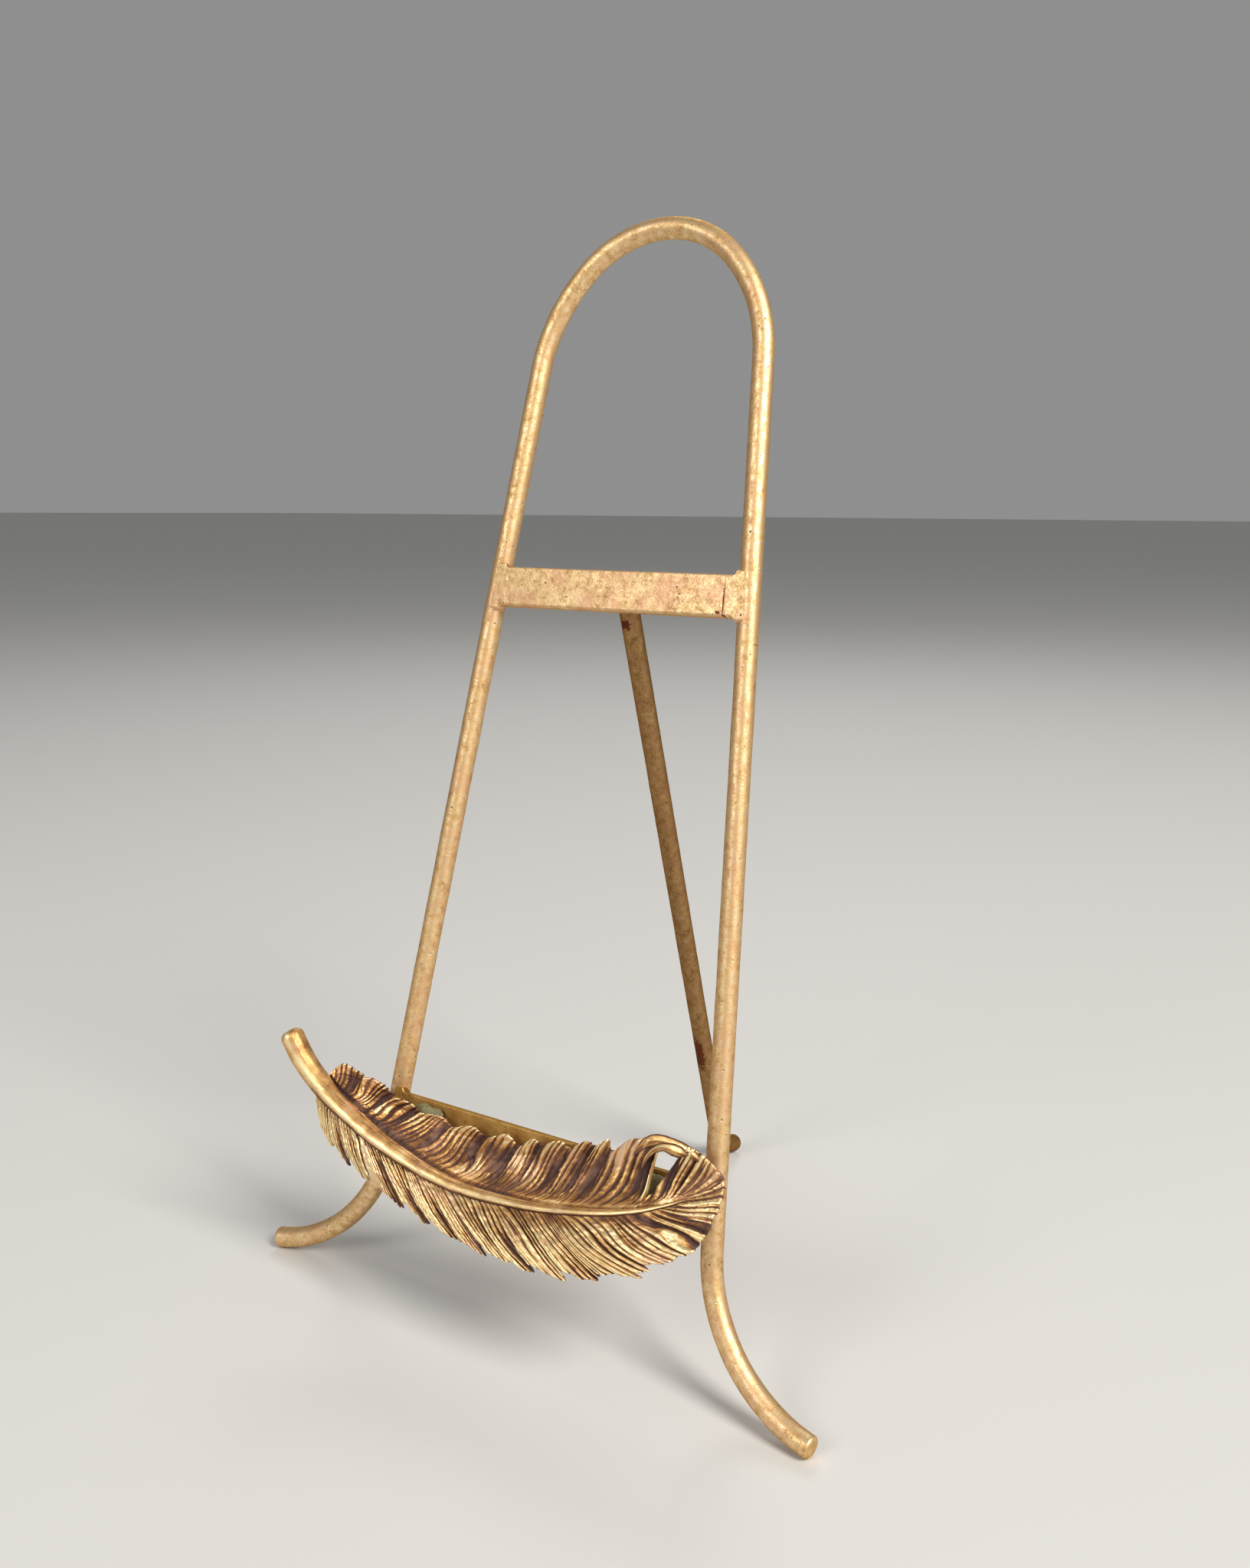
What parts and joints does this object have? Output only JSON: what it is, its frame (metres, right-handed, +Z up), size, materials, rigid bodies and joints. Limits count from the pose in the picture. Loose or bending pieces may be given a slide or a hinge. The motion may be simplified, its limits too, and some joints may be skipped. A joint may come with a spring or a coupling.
{
  "type": "display easel",
  "caption": "Small metal display easel with a bent round-bar arch frame, flat crossbars, a folding rear leg and a cast feather as the front ledge.",
  "frame": {"origin": "on the floor, in the middle of the footprint with the rear leg open", "axes": "+Z up; the front, where the displayed thing rests, faces -Y; X runs across the legs"},
  "size_m": [0.1828, 0.149, 0.3077],
  "materials": {
    "gold_bar": "antique gold paint, brushed with a darker glaze",
    "gold_casting": "antique gold paint on cast resin, purple-brown wash in the grooves",
    "rivet": "gold paint, worn",
    "adhesive": "set grey-green adhesive"
  },
  "bodies": {
    "frame": {"arch_rod": "gold_bar", "upper_crossbar": "gold_bar", "lower_crossbar": "gold_bar", "weld_upper_left": "gold_bar", "weld_upper_right": "gold_bar", "weld_lower_left": "gold_bar", "weld_lower_right": "gold_bar", "hinge_bracket": "gold_bar", "hinge_pin": "rivet", "feather": "gold_casting", "feather_pad_left": "adhesive", "feather_pad_right": "adhesive"},
    "leg": {"rear_leg": "gold_bar"}
  },
  "joints": [
    {"name": "leg_fold", "type": "hinge", "parent": "frame", "child": "leg", "pos_m": [0, -0.00178, 0.20182], "axis": [-1, 0, 0], "range_deg": [0, 32.6]}
  ]
}
